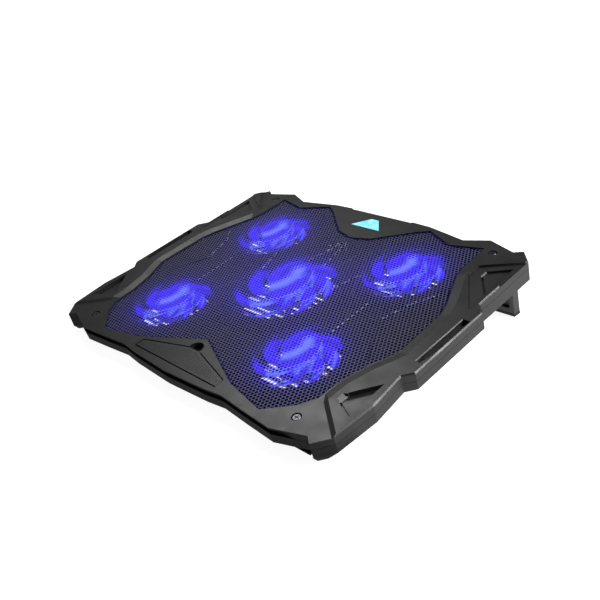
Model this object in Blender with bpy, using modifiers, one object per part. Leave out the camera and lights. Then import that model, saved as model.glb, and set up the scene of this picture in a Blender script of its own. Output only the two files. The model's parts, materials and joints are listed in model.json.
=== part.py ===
"""Laptop cooling pad: a mesh-topped plate with five lit fans, two folding legs and a flip-up stopper.

Sizes are in millimetres and become metres (MM) where a shape is made. Plate coordinates have +X to
the user's right, +Y to the back and Z = 0 on top of the side blocks. The plate hangs from one empty,
which leans it back onto its legs and front feet.
"""

import math

import bmesh
import bpy
from mathutils import Matrix, Vector

MM = 0.001
GAP = 0.3  # between pieces that touch on the real object

# Case heights
LOW_TOP = -1.4  # front, back and the lip of the mesh opening lie this far below the side blocks
SKIN_BOTTOM = -2.6
SPLIT = -8.0  # parting line of the two shells
FLOOR_TOP = -19.6
CASE_BOTTOM = -22.0
EDGE_CHAMFER = 1.2
WALL = 3.5
REAR_RIM_WALL = 2.2  # upper shell, where the mesh opening comes close to the back edge

# Mesh panel
MESH_TOP = -2.9
MESH_THICK = 0.8
MESH_MARGIN = 1.6

# Corners are (x, y) or (x, y, fillet radius), right-hand half, from the back to the front.
CASE_HALF = [
    (41, 148), (43, 149.5), (66, 148.5), (112.5, 140), (137.5, 150), (169, 140), (177, 145),
    (190.5, 131), (190.5, 56), (200, 46.5), (200, -44), (192.5, -52.5), (196.5, -90),
    (193, -131), (181, -145.5), (174, -140), (141, -150), (108, -147.5), (75, -144.5),
    (53.5, -147), (0, -149.5),
]
OPENING_HALF = [
    (0, 99, 14), (22, 105.5), (60, 136), (71.5, 142.3), (105.5, 127.5), (140.5, 135.5),
    (142, 99), (144.7, 85.5), (164, 44), (168.5, 29.5), (170.5, -28), (159, -54), (152, -80),
    (151, -104), (141, -120), (117.7, -139.7), (69.5, -129.7), (25, -110), (0, -99, 6),
]

# Three-cornered scoops in the side blocks, right-hand ones, with a slit along one side and a slanted
# facet at the blunt point, and the sloping panel round the rear scoop
SCOOPS = {
    "front_scoop": [(169.2, -98.9), (187.6, -107.5), (187.2, -66), (169.2, -88.5)],
    "rear_scoop": [(165.5, 95), (185.5, 72), (185, 116), (165.5, 103.5)],
}
SCOOP_SLITS = {
    "front_slit": [(168, -99.8), (188.6, -110), (187.4, -106.6), (169, -97.6)],
    "rear_slit": [(165, 94.2), (184.6, 69.8), (186.4, 71.6), (166, 96)],
}
SCOOP_FACETS = {
    "front_facet": [(165.6, -98.6), (169.7, -99.7), (169.7, -89.6), (165.6, -91)],
    "rear_facet": [(162, 95.5), (166.3, 94), (166.3, 103.3), (162, 101.8)],
}
SCOOP_DEPTH = 4.0
SLIT_DEPTH = 5.2
REAR_PANEL = [(154.5, 90), (187.5, 44), (187.5, 86), (196, 86), (196, 131.5), (154.5, 107)]
REAR_PANEL_DEPTHS = (1.3, 2.4)  # at the outer and at the inner end

# Groove along each side block's rim, right-hand one, with a small bevel on its inner edge
SIDE_GROOVE = [(190.9, -32), (195.2, -32), (198, -16), (198, 31.5), (190.9, 31.5)]
SIDE_GROOVE_DEPTH = 4.6
SIDE_GROOVE_BEVEL = 0.9

# Front groove between the upper rim and the lower lip
GROOVE_DEPTH = 4.5
GROOVE_TOP = -3.0
GROOVE_HALF_LENGTH = 173.0

# Fans: centre x, centre y, blade radius, hub radius
FANS = {
    "front_left": (-93.0, -72.5, 40.0, 15.0),
    "front_right": (93.0, -72.5, 40.0, 15.0),
    "rear_left": (-93.0, 72.5, 40.0, 15.0),
    "rear_right": (93.0, 72.5, 40.0, 15.0),
    "center": (0.0, 2.0, 52.0, 18.0),
}
BLADES = 7
BLADE_TOP = -5.3
BLADE_BOTTOM = -12.8
BLADE_THICK = 1.3
HUB_TOP = -4.7
HUB_BOTTOM = -14.2
HUB_WALL = 1.6
RING_GAP = 1.4  # blade tip to ring
RING_WALL = 1.6
RING_TOP = -4.3
ARM_TOP = -16.2
ARM_BOTTOM = -18.6
ARM_WIDTH = 5.0
SHAFT_RADIUS = 1.5

# Intake slots in the case floor
SLOT_PITCH = 8.0
SLOT_WIDTH = 4.5

# Legs, drawn unfolded
LEG_INNER_X = 140.0
LEG_OUTER_X = 180.0
LEG_THICK = 9.0
LEG_Y = 121.5
LEG_HINGE_Z = -17.0
LEG_TIP_Z = -57.0
LEG_PAD = 2.6
PIN_RADIUS = 1.5
POCKET_ROOF = -12.1
POCKET_FRONT_Y = 79.8
POCKET_WALL = 1.8
POCKET_GAP = 0.6

# Front feet: wedges that lie flat on the desk while the legs are out
FOOT_X = 150.0
FOOT_Y = -130.0
FOOT_TIP_Z = -25.0
FOOT_SIZE = (40.0, 20.0)
REAR_FOOT = (118.0, 132.5, 5.0, 1.8)  # x, y, radius, thickness

# Stopper flap and its recess
FLAP_HINGE_Y = -138.0
FLAP_HINGE_Z = -3.1
FLAP_HALF_THICK = 1.6
FLAP_HALF_WIDTH = 60.5
RECESS_GAP = 1.0
NOTCH_Y = -113.0
NOTCH_RADIUS = 8.0
RECESS_FLOOR = -5.3
NOTCH_FLOOR = -7.0
STOPPER_PIN_RADIUS = 0.8

# Corner screws
SCREWS = {
    "front_left": (-151.0, -129.3),
    "front_right": (151.0, -129.3),
    "rear_left": (-152.0, 131.5),
    "rear_right": (152.0, 131.5),
}
SCREW_HEAD = 4.0
SCREW_SHANK = 1.5

# Status light and rear electrics
LENS_HALF = [(5, 138.5), (19.5, 121.5)]
SOCKET_X = 24.0
SOCKET_SIZE = (13.2, 14.0, 6.6)
SOCKET_BACK_Y = 147.6
SOCKET_BOTTOM = -17.4
BOARD_THICK = 1.6
ROCKER_Y = 145.2
ROCKER_Z = -13.4
ROCKER_TILT = 8.0

# Resting attitude: the desk touches the front feet and the leg tips
REACH = LEG_Y - FOOT_Y
TILT = math.atan2(FOOT_TIP_Z - LEG_TIP_Z, REACH)
RISE = -(FOOT_Y * math.sin(TILT) + FOOT_TIP_Z * math.cos(TILT))
FORWARD = -1.375  # brings the middle of the footprint over the origin


def desk_z(y):
    """Plate height at which the desk lies below depth y."""
    return FOOT_TIP_Z - (y - FOOT_Y) * math.tan(TILT)


# ---------------------------------------------------------------- outlines


def mirrored(half):
    """A closed, counter-clockwise outline from its right-hand half."""
    left = [(-corner[0], *corner[1:]) for corner in reversed(half) if corner[0] > 0]
    return list(reversed(half + left))


def offset(outline, distance):
    """The outline with each edge moved outwards by distance, or by distance(x, y) of its middle."""
    lines = []
    for here, there in zip(outline, outline[1:] + outline[:1]):
        run, rise = there[0] - here[0], there[1] - here[1]
        length = math.hypot(run, rise)
        away = distance
        if callable(distance):
            away = distance(here[0] + run / 2, here[1] + rise / 2)
        normal = (rise / length, -run / length)
        lines.append((*normal, normal[0] * here[0] + normal[1] * here[1] + away))
    moved = []
    for i, corner in enumerate(outline):
        a, b, c = lines[i - 1]
        d, e, f = lines[i]
        det = a * e - b * d
        moved.append(((c * e - b * f) / det, (a * f - c * d) / det, *corner[2:]))
    return moved


def filleted(outline, steps=4):
    """Plain (x, y) points, with an arc at each corner that has a radius."""
    points = []
    for i, corner in enumerate(outline):
        middle = Vector(corner[:2])
        if len(corner) < 3:
            points.append(tuple(middle))
            continue
        before = (Vector(outline[i - 1][:2]) - middle).normalized()
        after = (Vector(outline[(i + 1) % len(outline)][:2]) - middle).normalized()
        half_angle = before.angle(after) / 2
        centre = middle + (before + after).normalized() * corner[2] / math.sin(half_angle)
        start = middle + before * corner[2] / math.tan(half_angle) - centre
        end = middle + after * corner[2] / math.tan(half_angle) - centre
        for k in range(steps + 1):
            spoke = start.lerp(end, k / steps).normalized() * corner[2]
            points.append(tuple(centre + spoke))
    return points


def rectangle(x0, x1, y0, y1):
    return [(x0, y0), (x1, y0), (x1, y1), (x0, y1)]


def plus(reach, half_width):
    """A plus sign about the origin, its arms a little narrower at their ends."""
    tip = 0.85 * half_width
    arm = [(reach, -tip), (reach, tip), (half_width, half_width)]
    turns = ((1, 0), (0, 1), (-1, 0), (0, -1))
    return [(x * c - y * s, x * s + y * c) for c, s in turns for x, y in arm]


def circle(x, y, radius, steps=24):
    turn = 2 * math.pi / steps
    return [(x + radius * math.cos(i * turn), y + radius * math.sin(i * turn)) for i in range(steps)]


CASE = mirrored(CASE_HALF)
OPENING = mirrored(OPENING_HALF)
LENS = mirrored(LENS_HALF)

# ---------------------------------------------------------------- scene and helpers

for old in list(bpy.data.objects):
    bpy.data.objects.remove(old)

pad = bpy.data.collections.new("laptop_cooling_pad")
cutters = bpy.data.collections.new("cutters")
bpy.context.scene.collection.children.link(pad)
bpy.context.scene.collection.children.link(cutters)

plate_axes = bpy.data.objects.new("plate_axes", None)
plate_axes.rotation_euler = (TILT, 0, 0)
plate_axes.location = (0, FORWARD * MM, RISE * MM)
pad.objects.link(plate_axes)


def material(name, colour, roughness, metallic=0.0, glow=0.0):
    made = bpy.data.materials.new(name)
    made.use_nodes = True
    shader = made.node_tree.nodes["Principled BSDF"]
    shader.inputs["Base Color"].default_value = (*colour, 1)
    shader.inputs["Roughness"].default_value = roughness
    shader.inputs["Metallic"].default_value = metallic
    shader.inputs["Emission Color"].default_value = (*colour, 1)
    shader.inputs["Emission Strength"].default_value = glow
    return made


BLACK = material("black_plastic", (0.03, 0.03, 0.035), 0.5)
DARK = material("dark_plastic", (0.015, 0.015, 0.018), 0.6)
MESH_PAINT = material("painted_mesh", (0.02, 0.02, 0.025), 0.4, 0.6)
BLUE = material("blue_fan_plastic", (0.05, 0.04, 1.0), 0.3, glow=1.0)
CYAN = material("cyan_lens", (0.15, 0.8, 0.9), 0.25, glow=1.0)
STEEL = material("steel", (0.55, 0.55, 0.57), 0.3, 1.0)
RUBBER = material("rubber", (0.02, 0.02, 0.02), 0.85)
BOARD = material("circuit_board", (0.02, 0.15, 0.06), 0.5)
COPPER = material("stator_winding", (0.6, 0.25, 0.1), 0.35, 1.0)


def place(name, mesh, look=None, at=(0, 0, 0), smooth=False):
    """A named object on the plate; without a look it is a cutter."""
    made = bpy.data.objects.new(name, mesh)
    made.parent = plate_axes
    made.location = [v * MM for v in at]
    if look is None:
        cutters.objects.link(made)
        made.hide_render = True
        made.display_type = "WIRE"
        return made
    pad.objects.link(made)
    mesh.materials.append(look)
    if smooth:
        mesh.shade_smooth()
        mesh.set_sharp_from_angle(angle=math.radians(35))
    return made


def finished(work, name):
    """The bmesh as a mesh with its normals facing out."""
    bmesh.ops.recalc_face_normals(work, faces=work.faces)
    if work.calc_volume(signed=True) < 0:
        bmesh.ops.reverse_faces(work, faces=work.faces)
    mesh = bpy.data.meshes.new(name)
    work.to_mesh(mesh)
    work.free()
    return mesh


def extruded(name, outline, low, high):
    """Mesh of a flat outline between two heights: a filled 2D curve, welded."""
    curve = bpy.data.curves.new(name, "CURVE")
    curve.dimensions = "2D"
    curve.fill_mode = "BOTH"
    curve.extrude = (high - low) / 2 * MM
    points = filleted(outline)
    spline = curve.splines.new("POLY")
    spline.points.add(len(points) - 1)
    for point, (x, y) in zip(spline.points, points):
        point.co = (x * MM, y * MM, 0, 1)
    spline.use_cyclic_u = True
    guide = bpy.data.objects.new(name + "_guide", curve)
    pad.objects.link(guide)
    guide.location.z = (high + low) / 2 * MM
    bpy.context.view_layer.update()
    evaluated = guide.evaluated_get(bpy.context.evaluated_depsgraph_get())
    work = bmesh.new()
    work.from_mesh(bpy.data.meshes.new_from_object(evaluated))
    work.transform(guide.matrix_world)
    bmesh.ops.remove_doubles(work, verts=work.verts, dist=1e-6)
    bpy.data.objects.remove(guide)
    return finished(work, name)


def lofted(name, *sections):
    """Mesh through (outline, height) sections, listed upwards; a height may be a function of x, y."""
    work = bmesh.new()
    rings = []
    for outline, height in sections:
        ring = []
        for x, y in filleted(outline):
            z = height(x, y) if callable(height) else height
            ring.append(work.verts.new((x * MM, y * MM, z * MM)))
        rings.append(ring)
    for low, high in zip(rings, rings[1:]):
        for i in range(len(low)):
            work.faces.new((low[i - 1], low[i], high[i], high[i - 1]))
    work.faces.new(rings[0])
    work.faces.new(rings[-1])
    bmesh.ops.triangulate(work, faces=work.faces)
    return finished(work, name)


def boxes(name, *spans):
    """Mesh of one or more boxes, each given as (x0, x1, y0, y1, z0, z1)."""
    work = bmesh.new()
    for x0, x1, y0, y1, z0, z1 in spans:
        made = bmesh.ops.create_cube(work, size=MM)["verts"]
        bmesh.ops.scale(work, vec=(x1 - x0, y1 - y0, z1 - z0), verts=made)
        middle = Vector((x0 + x1, y0 + y1, z0 + z1)) * MM / 2
        bmesh.ops.translate(work, vec=middle, verts=made)
    return finished(work, name)


def cylinders(name, spots, radius, low, high, segments=20):
    """Mesh of upright cylinders at the (x, y) spots."""
    work = bmesh.new()
    for x, y in spots:
        made = bmesh.ops.create_cone(
            work, cap_ends=True, segments=segments, radius1=radius * MM, radius2=radius * MM,
            depth=(high - low) * MM,
        )["verts"]
        bmesh.ops.translate(work, vec=Vector((x, y, (low + high) / 2)) * MM, verts=made)
    return finished(work, name)


def rod(name, radius, x0, x1, segments=16):
    """Mesh of a cylinder along X, with its axis through the origin."""
    mesh = cylinders(name, [(0, 0)], radius, x0, x1, segments)
    for vertex in mesh.vertices:
        vertex.co = (vertex.co.z, vertex.co.y, -vertex.co.x)
    return mesh


def bar(name, profile, x0, x1):
    """Mesh of a (y, z) profile drawn out along X."""
    mesh = extruded(name, profile, x0, x1)
    for vertex in mesh.vertices:
        vertex.co = (vertex.co.z, vertex.co.x, vertex.co.y)
    return mesh


def turned(name, look, profile, at, steps=32):
    """Turned piece about Z from (radius, z) points that run down its outer side."""
    work = bmesh.new()
    line = [work.verts.new((radius * MM, 0, z * MM)) for radius, z in profile]
    for a, b in zip(line, line[1:]):
        work.edges.new((a, b))
    if profile[0][0] > 0:
        work.edges.new((line[-1], line[0]))
    mesh = bpy.data.meshes.new(name)
    work.to_mesh(mesh)
    work.free()
    made = place(name, mesh, look, at)
    screw = made.modifiers.new("turn", "SCREW")
    screw.steps = steps
    screw.render_steps = steps
    screw.use_merge_vertices = True
    screw.merge_threshold = 1e-6
    screw.use_smooth_shade = False
    return made


def combine(target, operation, *others):
    for other in others:
        cut = target.modifiers.new(operation.lower(), "BOOLEAN")
        cut.operation = operation
        cut.object = other
        cut.solver = "EXACT"


def cut(target, mesh, at=(0, 0, 0), solver="EXACT"):
    combine(target, "DIFFERENCE", place(mesh.name, mesh, None, at))
    target.modifiers[-1].solver = solver


def join(target, mesh, at=(0, 0, 0)):
    combine(target, "UNION", place(mesh.name, mesh, None, at))


# ---------------------------------------------------------------- case


def upper_wall(x, y):
    """How far the upper shell's hollow stays inside the case outline."""
    if y < -130 and abs(x) < 176:
        return -(GROOVE_DEPTH + 2)
    if abs(x) > 198:
        return -12
    if y > 138:
        return -REAR_RIM_WALL
    return -WALL


def on_side(half, side):
    """An outline given for the right-hand side, or its counter-clockwise mirror image on the left."""
    if side > 0:
        return half
    return [(-x, y) for x, y in reversed(half)]


def cut_wedge(frame, name, outline, outer_depth, inner_depth):
    """Cut a floor whose depth changes evenly from the outline's outermost x to its innermost."""
    outer = max(abs(x) for x, y in outline)
    inner = min(abs(x) for x, y in outline)

    def floor(x, y):
        share = (outer - abs(x)) / (outer - inner)
        return -outer_depth - (inner_depth - outer_depth) * share

    cut(frame, lofted(name, (outline, floor), (outline, 1.0)))


def cut_side_relief(frame, side):
    """The scoops of one side, the panel round the rear one, and the groove along the rim."""
    for word, half in SCOOPS.items():
        backing = offset(on_side(half, side), 2.6)
        low = -SLIT_DEPTH - 1.5
        join(frame, extruded(f"{word}_backing_{side}", backing, low, SKIN_BOTTOM + 0.2))
    backing = on_side([(min(x, 188), y) for x, y in REAR_PANEL], side)
    low = -REAR_PANEL_DEPTHS[1] - 1.6
    join(frame, extruded(f"panel_backing_{side}", backing, low, SKIN_BOTTOM + 0.2))
    cut_wedge(frame, f"rear_panel_{side}", on_side(REAR_PANEL, side), *REAR_PANEL_DEPTHS)
    for word, half in SCOOPS.items():
        cut(frame, extruded(f"{word}_{side}", on_side(half, side), -SCOOP_DEPTH, 1))
    for word, half in SCOOP_SLITS.items():
        cut(frame, extruded(f"{word}_{side}", on_side(half, side), -SLIT_DEPTH, 1))
    for word, half in SCOOP_FACETS.items():
        cut_wedge(frame, f"{word}_{side}", on_side(half, side), SCOOP_DEPTH, 0.0)
    groove = on_side(SIDE_GROOVE, side)
    inner = min(abs(x) for x, y in groove)
    mouth = [(x - side * SIDE_GROOVE_BEVEL, y) if abs(x) == inner else (x, y) for x, y in groove]
    cut(frame, lofted(
        f"side_groove_{side}",
        (groove, -SIDE_GROOVE_DEPTH), (groove, -SIDE_GROOVE_BEVEL), (mouth, 0), (mouth, 1),
    ))


def cut_front_groove(frame):
    back_wall = offset(CASE, -GROOVE_DEPTH)
    back_wall = [c for c in back_wall if c[1] < -130 and abs(c[0]) < GROOVE_HALF_LENGTH]
    back_wall.sort()
    end = (GROOVE_HALF_LENGTH, back_wall[-1][1] + 3)
    ring = [(-end[0], -165), (end[0], -165), end, *reversed(back_wall), (-end[0], end[1])]
    cut(frame, extruded("front_groove", ring, SPLIT - 1, GROOVE_TOP))


def flap_outline():
    """The stopper flap's plan: a wide pentagon with a blunt tip."""
    front = FLAP_HINGE_Y - FLAP_HALF_THICK
    return mirrored([(6, -115), (FLAP_HALF_WIDTH, -130.5), (FLAP_HALF_WIDTH, front)])


def make_top_frame():
    frame = place(
        "top_frame",
        lofted("top_frame", (CASE, SPLIT), (CASE, -EDGE_CHAMFER), (offset(CASE, -EDGE_CHAMFER), 0)),
        BLACK,
    )
    cut(frame, extruded("upper_hollow", offset(CASE, upper_wall), SPLIT - 1, SKIN_BOTTOM))
    slope = 8.0
    cut(frame, lofted(
        "lip_slope",
        (offset(OPENING, 1), LOW_TOP),
        (offset(OPENING, 1 + slope), 0),
        (offset(OPENING, 1 + slope), 1),
    ))
    front_low = mirrored([(140, -80), (158, -106), (192, -132.4), (215, -150), (215, -175)])
    rear_low = mirrored([(195, 175), (195, 154.4), (178, 136), (152, 108), (145, 85)])
    for name, low in (("front_low", front_low), ("rear_low", rear_low)):
        cut(frame, lofted(name, (low, LOW_TOP), (offset(low, 4), 0), (offset(low, 4), 1)))
    for side in (-1, 1):
        cut_side_relief(frame, side)
    cut_front_groove(frame)
    recess = offset(flap_outline(), RECESS_GAP)
    notch = circle(0, NOTCH_Y, NOTCH_RADIUS)
    join(frame, extruded("recess_backing", offset(recess, 1.15), RECESS_FLOOR - 1.7, SKIN_BOTTOM + 0.2))
    join(frame, extruded("notch_backing", offset(notch, 1.6), NOTCH_FLOOR - 1.5, SKIN_BOTTOM + 0.2))
    join(frame, extruded("lens_collar", offset(LENS, 2), SKIN_BOTTOM - 1.4, SKIN_BOTTOM + 0.2))
    spots = list(SCREWS.values())
    join(frame, cylinders("upper_bosses", spots, SCREW_HEAD + 2.2, SPLIT, SKIN_BOTTOM + 0.2))
    cut(frame, extruded("recess", recess, RECESS_FLOOR, 1))
    cut(frame, extruded("notch", notch, NOTCH_FLOOR, 1))
    reach = FLAP_HALF_WIDTH + 2.2
    pin_hole = rod("stopper_pin_hole", STOPPER_PIN_RADIUS + GAP, -reach, reach)
    cut(frame, pin_hole, (0, FLAP_HINGE_Y, FLAP_HINGE_Z))
    cut(frame, cylinders("head_recesses", spots, SCREW_HEAD + 0.5, -4.6, 1, 24))
    cut(frame, cylinders("shank_holes", spots, SCREW_SHANK + 0.4, SPLIT - 1, 1))
    cut(frame, extruded("opening", OPENING, SPLIT - 1, 1))
    cut(frame, extruded("lens_window", offset(LENS, GAP), SPLIT - 1, 1))


def make_mesh_panel():
    panel = extruded("mesh_panel", offset(OPENING, MESH_MARGIN), MESH_TOP - MESH_THICK, MESH_TOP)
    place("mesh_panel", panel, MESH_PAINT)


def leg_span(side, margin=0.0):
    return sorted((side * (LEG_INNER_X - margin), side * (LEG_OUTER_X + margin)))


def tuck(x, y):
    """How far the underside stays inside the case outline: little at the back and the front corners."""
    if y > 50:
        return -2
    if y < -131 and abs(x) > 174:
        return -2.5
    return -6.5


def wall_foot(x, y):
    """Height at which the outer wall turns in towards the underside."""
    return CASE_BOTTOM + (2 if y > 50 else 5.5)


def make_bottom_shell():
    shell = place(
        "bottom_shell",
        lofted(
            "bottom_shell",
            (offset(CASE, tuck), CASE_BOTTOM), (CASE, wall_foot), (CASE, SPLIT - GAP),
        ),
        DARK,
    )
    walls = offset(CASE, -WALL)
    hollow_floor = offset(CASE, lambda x, y: tuck(x, y) - 3)
    hollow = lofted("lower_hollow", (hollow_floor, FLOOR_TOP), (walls, FLOOR_TOP + 4.5), (walls, SPLIT + 1))
    cut(shell, hollow, solver="MANIFOLD")
    back_y = LEG_Y + LEG_THICK / 2 + 0.5
    pocket_boxes = []
    pockets = []
    for side in (-1, 1):
        outer = leg_span(side, POCKET_GAP + POCKET_WALL)
        inner = leg_span(side, POCKET_GAP)
        roof = POCKET_ROOF + POCKET_WALL
        pocket_boxes.append(
            (*outer, POCKET_FRONT_Y - POCKET_WALL, back_y + POCKET_WALL, CASE_BOTTOM, roof)
        )
        pockets.append((*inner, POCKET_FRONT_Y, back_y, CASE_BOTTOM - 1, POCKET_ROOF))
    join(shell, boxes("pocket_boxes", *pocket_boxes))
    spots = list(SCREWS.values())
    join(shell, cylinders("lower_bosses", spots, SCREW_SHANK + 2.6, FLOOR_TOP - 0.2, SPLIT - 2 * GAP))
    cut(shell, boxes("pockets", *pockets))
    cut(shell, cylinders("screw_holes", spots, SCREW_SHANK + 0.4, FLOOR_TOP + 2, SPLIT + 1))
    for side in (-1, 1):
        hole = rod("leg_pin_hole", PIN_RADIUS + GAP, *leg_span(side, POCKET_GAP + POCKET_WALL + 1))
        cut(shell, hole, (0, LEG_Y, LEG_HINGE_Z))
    cut(shell, boxes("port_notch", (-39.2, 39.2, 140, 160, -18.5, SPLIT + 1)))
    cut(shell, boxes("intake_slots", *intake_slots()))


def intake_slots():
    """Rows of straight slots that fill a circle under each fan."""
    slots = []
    for x, y, blade, hub in FANS.values():
        reach = blade - 2
        rows = int(reach // SLOT_PITCH)
        for row in range(-rows, rows + 1):
            across = row * SLOT_PITCH
            half = math.sqrt(reach**2 - across**2) - 1
            low = y + across - SLOT_WIDTH / 2
            slots.append((x - half, x + half, low, low + SLOT_WIDTH, CASE_BOTTOM - 1, FLOOR_TOP + 1))
    return slots


# ---------------------------------------------------------------- fans


def blade_surface(name, blade, hub):
    """Seven swept, pitched blades as open sheets about the fan's axis."""
    work = bmesh.new()
    rows, columns = 5, 3
    start = hub - 0.8
    for number in range(BLADES):
        grid = []
        for row in range(rows):
            out = row / (rows - 1)
            radius = start + (blade - start) * out
            lead = 2 * math.pi * number / BLADES - math.radians(58) * out**1.3
            width = math.radians(40 - 4 * out)
            line = []
            for column in range(columns):
                across = column / (columns - 1)
                angle = lead + width * across
                pitch = across + 0.15 * math.sin(math.pi * across)
                z = BLADE_BOTTOM + 1 + (BLADE_TOP - BLADE_BOTTOM - 2) * pitch
                line.append(work.verts.new((
                    radius * math.cos(angle) * MM, radius * math.sin(angle) * MM, z * MM,
                )))
            grid.append(line)
        for low, high in zip(grid, grid[1:]):
            for i in range(columns - 1):
                work.faces.new((low[i], low[i + 1], high[i + 1], high[i]))
    return finished(work, name)


def make_fan(key, x, y, blade, hub):
    at = (x, y, 0)
    ring_in = blade + RING_GAP
    ring_out = ring_in + RING_WALL
    ring_bottom = FLOOR_TOP + GAP
    frame = turned(
        f"fan_frame_{key}", DARK,
        [(ring_out, RING_TOP), (ring_out, ring_bottom), (ring_in, ring_bottom), (ring_in, RING_TOP)],
        at, 28,
    )
    arms = extruded(f"arms_{key}", plus(ring_in + 0.8, ARM_WIDTH / 2), ARM_BOTTOM, ARM_TOP)
    arms.transform(Matrix.Rotation(math.radians(45), 4, "Z"))
    join(frame, arms, at)
    join(frame, cylinders(f"motor_plate_{key}", [(0, 0)], hub + 1, ARM_BOTTOM - 0.1, ARM_TOP + 0.1, 24), at)

    rotor = place(f"fan_rotor_{key}", blade_surface(f"fan_rotor_{key}", blade, hub), BLUE, at, smooth=True)
    thick = rotor.modifiers.new("thickness", "SOLIDIFY")
    thick.thickness = BLADE_THICK * MM
    thick.offset = 0
    cup = turned(
        f"cup_{key}", BLUE,
        [
            (0, HUB_TOP), (hub - 1.5, HUB_TOP), (hub, HUB_TOP - 1.5), (hub, HUB_BOTTOM),
            (hub - HUB_WALL, HUB_BOTTOM), (hub - HUB_WALL, HUB_TOP - HUB_WALL), (0, HUB_TOP - HUB_WALL),
        ],
        at, 20,
    )
    as_cutter(cup)
    combine(rotor, "UNION", cup)

    stator_top = HUB_TOP - HUB_WALL - 0.8
    turned(
        f"fan_stator_{key}", COPPER,
        [
            (hub - HUB_WALL - 0.9, stator_top), (hub - HUB_WALL - 0.9, ARM_TOP + 0.4),
            (SHAFT_RADIUS + 0.5, ARM_TOP + 0.4), (SHAFT_RADIUS + 0.5, stator_top),
        ],
        at, 16,
    )
    shaft = cylinders(
        f"fan_shaft_{key}", [(0, 0)], SHAFT_RADIUS, ARM_TOP + 0.4, HUB_TOP - HUB_WALL - GAP, 12,
    )
    place(f"fan_shaft_{key}", shaft, STEEL, at)

    board_top = ARM_TOP + 0.4 + 0.8
    board = turned(
        f"fan_led_board_{key}", BOARD,
        [(hub + 6, board_top), (hub + 6, ARM_TOP + 0.4), (hub + 1.2, ARM_TOP + 0.4), (hub + 1.2, board_top)],
        at, 16,
    )
    middle = hub + 3.6
    lamps = []
    for number in range(4):
        angle = math.pi / 2 * number
        u, v = middle * math.cos(angle), middle * math.sin(angle)
        lamps.append((u - 1.3, u + 1.3, v - 1.3, v + 1.3, board_top - 0.2, board_top + 0.6))
    join(board, boxes(f"lamps_{key}", *lamps), at)


def as_cutter(made):
    """Move a helper out of the pad and hide it."""
    pad.objects.unlink(made)
    cutters.objects.link(made)
    made.hide_render = True
    made.display_type = "WIRE"


def make_cable(name, route):
    """Flat-lying fan lead on the case floor through (x, y) points."""
    curve = bpy.data.curves.new(name, "CURVE")
    curve.dimensions = "3D"
    curve.bevel_depth = 0.9 * MM
    curve.bevel_resolution = 1
    curve.use_fill_caps = True
    points = [Vector((x, y)) for x, y in route]
    smooth = []
    for i in range(len(points) - 1):
        before, here = points[max(i - 1, 0)], points[i]
        there, after = points[i + 1], points[min(i + 2, len(points) - 1)]
        for k in range(3):
            t = k / 3
            smooth.append(
                0.5 * (2 * here + (there - before) * t + (2 * before - 5 * here + 4 * there - after) * t**2
                       + (3 * here - before - 3 * there + after) * t**3)
            )
    smooth.append(points[-1])
    spline = curve.splines.new("POLY")
    spline.points.add(len(smooth) - 1)
    for point, (x, y) in zip(spline.points, smooth):
        point.co = (x * MM, y * MM, (FLOOR_TOP + 1.25) * MM, 1)
    made = bpy.data.objects.new(name, curve)
    made.parent = plate_axes
    curve.materials.append(DARK)
    pad.objects.link(made)


def make_cables():
    rear = [(61.5, 105), (48, 112), (40, 116), (32.5, 117)]
    front = [(93, -28.6), (78, 2), (62, 28), (51.5, 42), (39, 64), (24, 88), (20, 107.5)]
    for side, word in ((-1, "left"), (1, "right")):
        make_cable(f"fan_cable_rear_{word}", [(side * x, y) for x, y in rear])
        make_cable(f"fan_cable_front_{word}", [(side * x, y) for x, y in front])
    make_cable("fan_cable_center", [(5, 58), (7, 75), (8, 92), (8, 107.5)])


# ---------------------------------------------------------------- legs and feet


def make_leg(side, word):
    x0, x1 = leg_span(side)
    half = LEG_THICK / 2
    at = (0, LEG_Y, LEG_HINGE_Z)
    crown = [(half * math.cos(math.pi * i / 10), half * math.sin(math.pi * i / 10)) for i in range(11)]

    def sole(y, lift):
        return desk_z(LEG_Y + y) - LEG_HINGE_Z + lift

    profile = crown + [(-half, sole(-half, LEG_PAD + GAP)), (half, sole(half, LEG_PAD + GAP))]
    leg = place(f"leg_{word}", bar(f"leg_{word}", profile, x0, x1), BLACK, at)
    hollow = boxes(f"leg_hollow_{word}", (x0 + 5, x1 - 5, -half - 1, -half + 3, -31, -9))
    cut(leg, hollow, at)
    cut(leg, rod(f"leg_bore_{word}", PIN_RADIUS + GAP, x0 - 1, x1 + 1), at)
    pad_profile = [
        (half, sole(half, LEG_PAD)), (-half, sole(-half, LEG_PAD)),
        (-half, sole(-half, 0)), (half, sole(half, 0)),
    ]
    place(f"leg_pad_{word}", bar(f"leg_pad_{word}", pad_profile, x0, x1), RUBBER, at)
    pin = rod(f"leg_pin_{word}", PIN_RADIUS, *leg_span(side, POCKET_GAP + POCKET_WALL - GAP))
    place(f"leg_pin_{word}", pin, STEEL, at)


def make_feet():
    length, depth = FOOT_SIZE
    for side, word in ((-1, "left"), (1, "right")):
        outline = rectangle(
            side * FOOT_X - length / 2, side * FOOT_X + length / 2, FOOT_Y - depth / 2, FOOT_Y + depth / 2,
        )
        foot = lofted(f"front_foot_{word}", (outline, lambda x, y: desk_z(y)), (outline, CASE_BOTTOM - GAP))
        place(f"front_foot_{word}", foot, RUBBER)
        x, y, radius, thick = REAR_FOOT
        disc = cylinders(
            f"rear_foot_{word}", [(side * x, y)], radius, CASE_BOTTOM - GAP - thick, CASE_BOTTOM - GAP,
        )
        place(f"rear_foot_{word}", disc, RUBBER)


# ---------------------------------------------------------------- stopper, screws, light, electrics


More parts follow.
